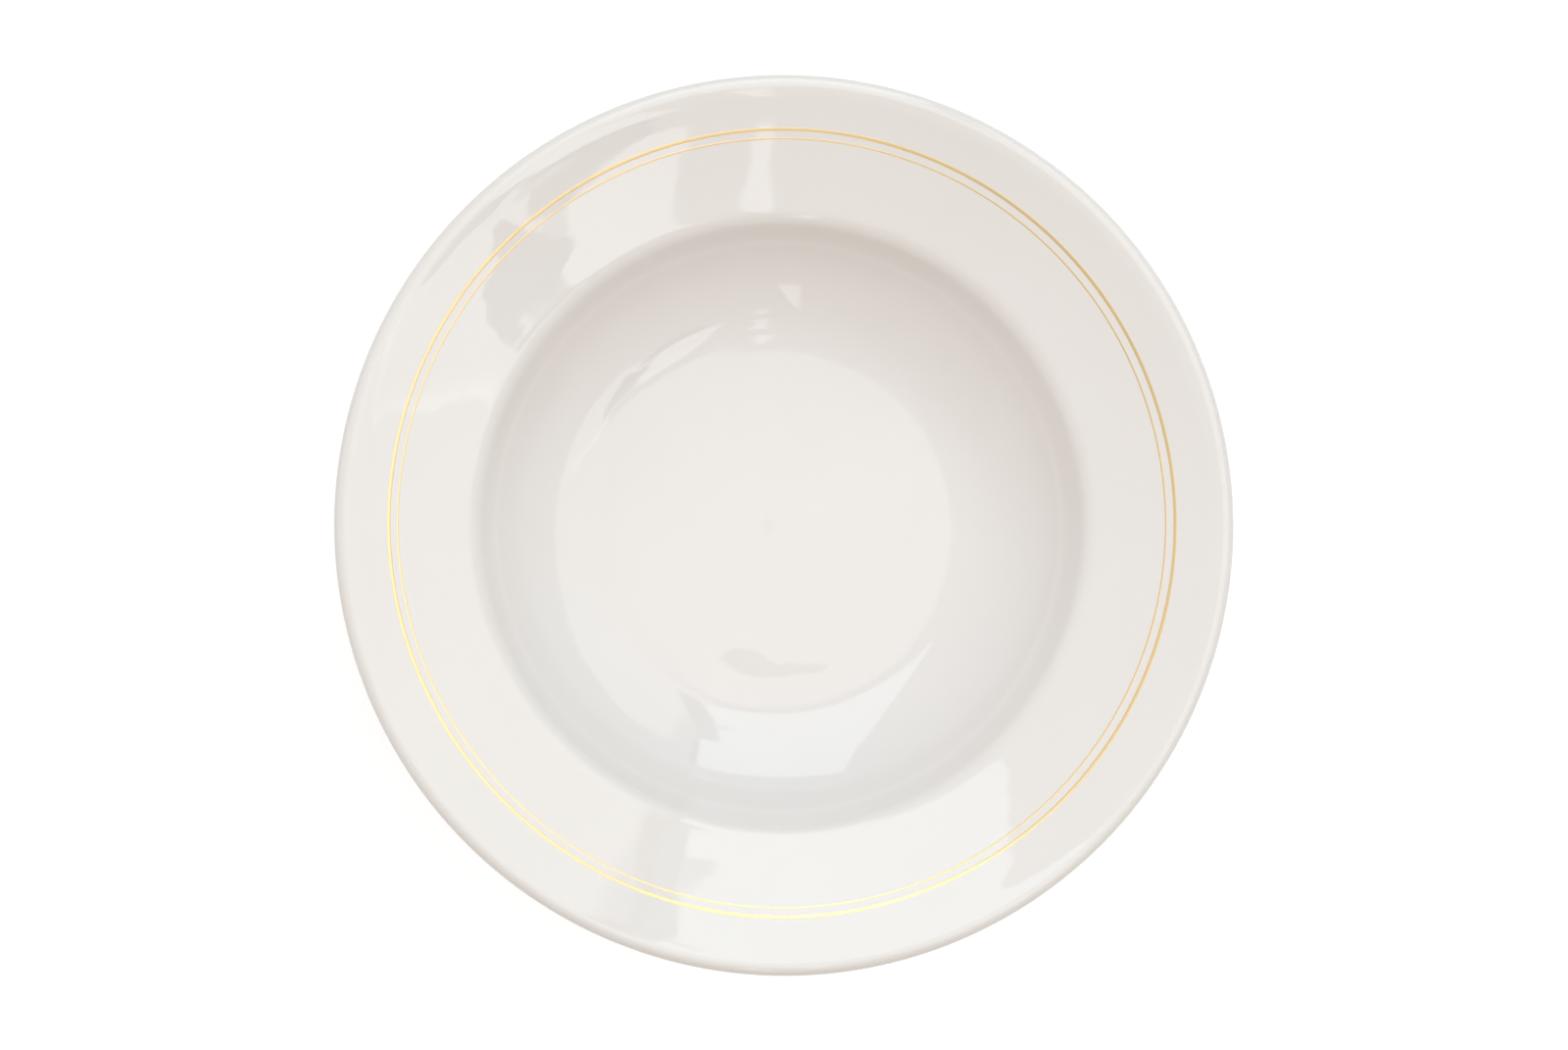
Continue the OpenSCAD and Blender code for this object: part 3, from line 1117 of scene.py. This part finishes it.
@dataclass(frozen=True)
class SkyGlow:
    """A soft light of the studio, brightest towards one direction and fading evenly round it."""

    name: str
    elevation: float
    azimuth: float
    colour: Colour
    sharpness: float = 12.0

    def over(self, sheet: NodeSheet, behind: Socket, direction: Socket) -> Socket:
        """Returns behind + colour * exp(sharpness * (cosine to the brightest direction − 1)).

        Args:
            sheet: The world's nodes.
            behind: The sky without the glow.
            direction: The direction looked along, of length 1.

        Returns:
            The sky with the glow.
        """
        level, height = ahead(self.elevation)
        side = ahead(self.azimuth)
        middle = (float(level * side[0]), float(level * side[1]), float(height))
        cosine = sheet.vector_step(Step.DOT_PRODUCT, direction, middle, output="Value")
        fall = sheet.times(sheet.minus(cosine, 1.0), self.sharpness)
        glow = sheet.scaled(sheet.sum_of(Step.EXPONENT, fall), self.colour)
        glow.node.label = self.name
        return sheet.vector_step(Step.ADD, behind, glow)


@dataclass(frozen=True)
class SkyPatch:
    """Something in the studio that the glaze mirrors: a convex outline in the sky.

    The corners run counter-clockwise, in degrees from straight overhead: the first number is
    towards +X and the second towards +Y. Inside, a share of what lies behind is hidden, and the
    patch adds its own light. The edge is soft, and noise makes it ragged.
    """

    name: str
    corners: tuple[tuple[float, float], ...]
    light: Colour = grey(0.0)
    hides: float = 0.0
    soft: float = 0.7
    ragged: float = 0.5

    def over(self, sheet: NodeSheet, behind: Socket, spot: Socket, push: Socket) -> Socket:
        """Returns behind * (1 − hides * mask) + light * mask.

        The noise shifts the distance inside the outline, and an eased step over the soft width
        gives the mask.

        Args:
            sheet: The world's nodes.
            behind: What the sky shows there without the patch.
            spot: The direction as (degrees towards +X, degrees towards +Y, 1).
            push: Noise about 0.

        Returns:
            The sky with the patch.
        """
        shift = sheet.times(push, self.ragged)
        mask = sheet.soft_edge(sheet.plus(sheet.inside(spot, self.corners), shift), self.soft)
        mask.node.label = self.name
        kept = sheet.scaled(sheet.minus(1.0, sheet.times(mask, self.hides)), behind)
        return sheet.vector_step(Step.ADD, kept, sheet.scaled(mask, self.light))


@dataclass(frozen=True)
class StudioSky:
    """The light round the plate: soft glows, a tall window on one side, and what stands about."""

    room: Colour = grey(0.01)
    backdrop: Colour = grey(1.0)
    glows: tuple[SkyGlow, ...] = (
        SkyGlow("ceiling", 90, 0, (1.20, 1.08, 1.02)),
        SkyGlow("high_back", 68, 270, (0.46, 0.52, 0.72)),
        SkyGlow("right_window", 40, 120, (0.27, 0.33, 0.27)),
        SkyGlow("right", 40, 180, (0.92, 0.91, 0.88)),
        SkyGlow("right_back", 40, 225, (0.76, 0.67, 0.57)),
        SkyGlow("back", 40, 270, (0.67, 0.53, 0.19)),
        SkyGlow("left_back", 40, 315, (0.77, 0.77, 0.63)),
        SkyGlow("low_left", 8, 0, (1.33, 1.29, 1.20)),
        SkyGlow("low_corner", 8, 45, (1.03, 0.99, 0.90)),
        SkyGlow("low_window", 8, 90, (0.19, 0.21, 0.14)),
        SkyGlow("low_far_corner", 8, 135, (1.62, 1.42, 1.38)),
        SkyGlow("low_right", 8, 180, (1.15, 1.12, 0.95)),
    )
    patches: tuple[SkyPatch, ...] = (
        SkyPatch("ceiling_lamp", ((-1, -3.5), (9, -6), (9, 9), (-1, 9)), grey(1.0), soft=3.0, ragged=0.3),
        SkyPatch("softbox", ((8.5, -10.5), (26, -9.5), (46, -6), (49, 30), (43, 46), (32, 52), (10, 12)),
                 (1.05, 1.06, 1.02), soft=2.0),
        SkyPatch("window", ((-10.5, 14.5), (11.5, 14.5), (29, 67), (-11, 71.5), (-12.8, 36)),
                 (1.42, 1.78, 1.90), soft=0.6, ragged=0.7),
        SkyPatch("post", ((11.4, 14.5), (13.6, 14.5), (17.2, 25), (21.3, 43), (16.9, 43)),
                 hides=0.8, soft=0.6, ragged=0.4),
        SkyPatch("post_top", ((20.8, 42.5), (22.5, 42.5), (31, 64), (29, 64)), hides=0.7, soft=0.8),
        SkyPatch("blob", ((11.8, 29.4), (14.8, 28.2), (15.2, 32.2), (13.0, 32.0)), hides=0.6, ragged=0.8),
        SkyPatch("softbox_foot", ((26, -8), (26, -24.5), (33.7, -26.5), (41, -19.5), (46, -6)),
                 grey(1.3), soft=0.5, ragged=0.7),
        SkyPatch("panel", ((14.6, -30.5), (19, -29.3), (24.3, -25.8), (24.2, -17), (22, -14), (15.3, -14.2)),
                 grey(1.7), soft=0.5, ragged=0.7),
        SkyPatch("screen", ((23, -20.3), (31, -23.1), (31.2, -15.5), (28.1, -11.6), (23.3, -16.6)),
                 hides=0.95, soft=0.35, ragged=0.7),
        SkyPatch("screen_arm", ((18, -33), (24, -31.5), (28.2, -25.2), (28.2, -22.5), (26, -23.4), (18, -30)),
                 hides=0.9, soft=0.6),
        SkyPatch("dim_corner", ((-48, -50), (-4, -50), (-8, -22), (-18, -10), (-48, -6)),
                 hides=0.2, soft=8.0, ragged=1.5),
        SkyPatch("glint", ((6, -18), (8.4, -18), (7.3, -11), (6.9, -11)), grey(1.9), soft=0.8, ragged=0.3),
        SkyPatch("strip", ((1, -61), (7, -61), (3, -42), (1.6, -42)), grey(1.9), soft=1.0, ragged=0.4),
        SkyPatch("streak", ((7.5, -31), (8.9, -31), (9.6, -23), (7.1, -23)), grey(1.8)),
        SkyPatch("streak_end", ((7.6, -38.5), (9.8, -38.5), (9.8, -36), (7.8, -36)), grey(1.6)),
    )
    ragged_cloud: Cloud = Cloud(0.28, 3.0, 0.6)
    ragged_swing: float = 4.0
    least_level: float = 1e-4

    def build(self) -> bpy.types.World:
        """Builds the world.

        The glows add up over a dim room and light the plate. Mirror rays and rays through glass
        see the white backdrop in their place. Each patch in turn then covers what lies behind it
        and adds its own light. The camera sees the backdrop alone. A direction's spot is its
        angle from straight overhead, laid out along its bearing.

        Returns:
            The world.
        """
        world = bpy.data.worlds.new("studio")
        world.use_nodes = True
        sheet = NodeSheet(world.node_tree)
        direction = sheet.vector_step(Step.NORMALIZE, sheet.out("ShaderNodeTexCoord", {}, "Generated"))
        x, y, z = sheet.parts(direction)
        overhead = sheet.sum_of(Step.DEGREES, sheet.sum_of(Step.ARCCOSINE, z))
        level = sheet.most(sheet.level_reach(direction), self.least_level)
        stretch = sheet.sum_of(Step.DIVIDE, overhead, level)
        spot = sheet.vector(sheet.times(x, stretch), sheet.times(y, stretch), 1.0)
        push = sheet.swing(sheet.noise(spot, self.ragged_cloud), self.ragged_swing)
        seen, mirrored = sheet.ray_kinds()
        colour = sheet.vector(*self.room)
        for glow in self.glows:
            colour = glow.over(sheet, colour, direction)
        colour = sheet.blend(mirrored, colour, self.backdrop)
        for patch in self.patches:
            colour = patch.over(sheet, colour, spot, push)
        colour = sheet.blend(seen, colour, self.backdrop)
        light = sheet.out("ShaderNodeBackground", {"Color": colour, "Strength": 1.0})
        sheet.node("ShaderNodeOutputWorld", {"Surface": light})
        bpy.context.scene.world = world
        return world


@dataclass(frozen=True)
class PaleFloor:
    """A round pale table top that the plate stands on. It shows white, and keeps the shadow."""

    radius: float = 2.5
    drop: float = 0.05 * MM
    turns: int = 96
    colour: Colour = (0.45, 0.445, 0.435)
    own_light: float = 0.80
    shadow_share: float = 0.32

    def build(self) -> bpy.types.Object:
        """Builds the table top as one fan of triangles, and its finish.

        Returns:
            The floor.
        """
        ring = carried(self.radius, -self.drop, bearings(self.turns))
        points = np.concatenate([ring, [[0, 0, -self.drop]]])
        floor = TurnedMesh.thing("table_top", points, TurnedMesh.fan(self.turns, np.arange(self.turns)))
        floor.data.materials.append(self._material())
        return floor

    def _material(self) -> bpy.types.Material:
        """Builds the table's finish.

        Returns:
            The material: plain matt paint, and white to the camera, to mirrors and to glass.
        """
        made, sheet = NodeSheet.of_finish("pale_table")
        paint = sheet.out("ShaderNodeBsdfDiffuse", {"Color": (*self.colour, 1.0)})
        shaded = sheet.out("ShaderNodeBsdfDiffuse", {"Color": (*grey(self.shadow_share), 1.0)})
        white = sheet.out("ShaderNodeEmission", {"Color": (*grey(1.0), 1.0), "Strength": self.own_light})
        shown = sheet.out("ShaderNodeAddShader", {0: shaded, 1: white})
        share = sheet.most(*sheet.ray_kinds())
        sheet.finish(sheet.out("ShaderNodeMixShader", {0: share, 1: paint, 2: shown}))
        return made


@dataclass(frozen=True)
class StudioCamera:
    """A camera nearly overhead, far off, on the picture's own framing.

    The lip's middle stands at a place in the picture that is given in its own pixels.
    """

    lip_height: float = 38.4 * MM
    distance: float = 1.8
    tilt: float = 6.5
    tilt_side: float = 200.0
    picture_width_px: float = 1600.0
    picture_height_px: float = 1071.0
    lip_middle_px: tuple[float, float] = (802.9, 534.8)
    plate_radius_px: float = 461.6
    sensor: float = 36.0
    sees: Span = (0.05, 20.0)

    def build(self, form: PlateForm) -> bpy.types.Object:
        """Places the camera.

        It looks down by tilt degrees off the upright, from tilt_side, with +Y up in the picture.
        It then moves square to its view, so that the lip's middle falls on its pixel.

        Args:
            form: The plate that it looks at.

        Returns:
            The camera.
        """
        per_px = form.radius / self.plate_radius_px
        side = ahead(self.tilt_side)
        lean_x, lean_z = math.sin(math.radians(self.tilt)), math.cos(math.radians(self.tilt))
        back = Vector((lean_x * side[0], lean_x * side[1], lean_z))
        right = (-back).cross(Vector((0, 1, 0))).normalized()
        up = right.cross(-back)
        off_right = (self.lip_middle_px[0] - self.picture_width_px / 2) * per_px
        off_up = (self.picture_height_px / 2 - self.lip_middle_px[1]) * per_px
        place = Vector((0, 0, self.lip_height)) + back * self.distance - right * off_right - up * off_up
        data = bpy.data.cameras.new("studio_camera")
        data.sensor_width = self.sensor
        data.lens = self.sensor * self.distance / (self.picture_width_px * per_px)
        data.clip_start, data.clip_end = self.sees
        camera = bpy.data.objects.new("studio_camera", data)
        camera.matrix_world = Matrix.Translation(place) @ Matrix((right, up, back)).transposed().to_4x4()
        bpy.context.scene.collection.objects.link(camera)
        bpy.context.scene.camera = camera
        return camera


def main() -> None:
    """Builds the plate and the studio in order, and reports each piece."""
    logging.basicConfig(level=logging.INFO, format="%(name)s: %(message)s")
    low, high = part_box(PlateNode.COAT.value)
    form = PlateForm(radius=(high.x - low.x) / 2, height=high.z)
    for piece in SoupPlate(form, Unevenness()).build():
        log.info("%s: %d faces", piece.name, len(piece.data.polygons))
    StudioSky().build()
    PaleFloor().build()
    StudioCamera().build(form)
    bpy.context.scene.view_settings.view_transform = "Standard"


if __name__ == "__main__":
    main()
